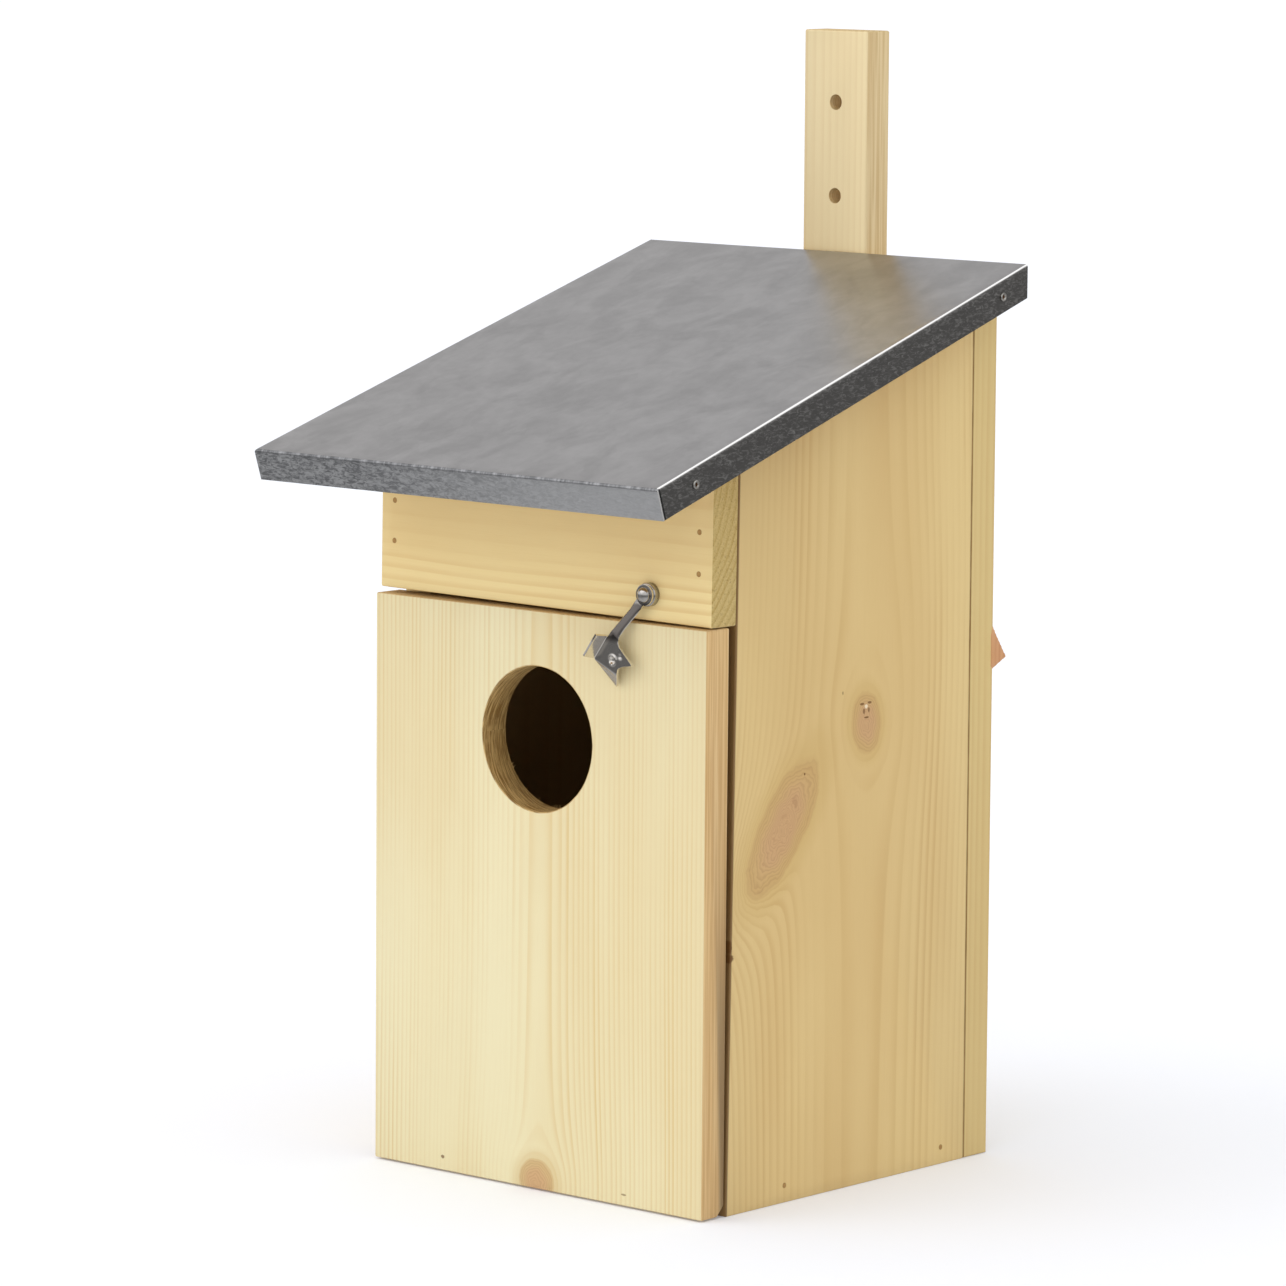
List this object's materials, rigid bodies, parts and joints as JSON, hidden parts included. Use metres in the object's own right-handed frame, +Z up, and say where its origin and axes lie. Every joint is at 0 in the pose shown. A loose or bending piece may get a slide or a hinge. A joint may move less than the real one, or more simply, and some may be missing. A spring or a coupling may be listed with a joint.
{
  "type": "birdhouse",
  "caption": "Wooden nest box with a round entrance hole, sloping metal-clad roof, bottom-hinged front door held by a turning latch, and a hanging batten at the back.",
  "frame": {"origin": "middle of the footprint of the whole object's bounding box, on the surface that it stands on", "axes": "+Z up along the hanging batten; -Y out of the front of the door; +X to the right side board, seen from the front"},
  "size_m": [0.1836, 0.209, 0.3925],
  "materials": {
    "board_pine": "planed, untreated",
    "rail_pine": "planed, untreated",
    "door_pine": "planed, untreated",
    "batten_pine": "planed, untreated",
    "zinc_sheet": "galvanised, faint spangle, satin",
    "nickel": "nickel-plated, slightly dull",
    "steel": "bright zinc-plated",
    "hinge_brass": "satin"
  },
  "bodies": {
    "house": {"left_side": "board_pine", "right_side": "board_pine", "back_board": "board_pine", "floor_board": "board_pine", "front_rail": "rail_pine", "roof_board": "board_pine", "roof_sheet": "zinc_sheet", "hanging_batten": "batten_pine", "floor_nails": "steel", "back_nails": "steel", "rail_nails": "steel", "roof_nails": "steel", "sheet_nails": "steel", "batten_screws": "steel", "latch_washer": "nickel", "latch_screw": "nickel", "left_floor_leaf": "hinge_brass", "left_hinge_pin": "steel", "right_floor_leaf": "hinge_brass", "right_hinge_pin": "steel", "hinge_floor_screws": "hinge_brass"},
    "door": {"door_panel": "door_pine", "left_door_leaf": "hinge_brass", "right_door_leaf": "hinge_brass", "hinge_door_screws": "hinge_brass"},
    "latch": {"latch_arm": "nickel"}
  },
  "joints": [
    {"name": "door_swing", "type": "hinge", "parent": "house", "child": "door", "pos_m": [0, -0.04917, 0.0024], "axis": [1, 0, 0], "range_deg": [-0.7, 95]},
    {"name": "latch_turn", "type": "hinge", "parent": "house", "child": "latch", "pos_m": [0.0485, -0.05806, 0.20967], "axis": [0, 0.9999, -0.0157], "continuous": true}
  ]
}
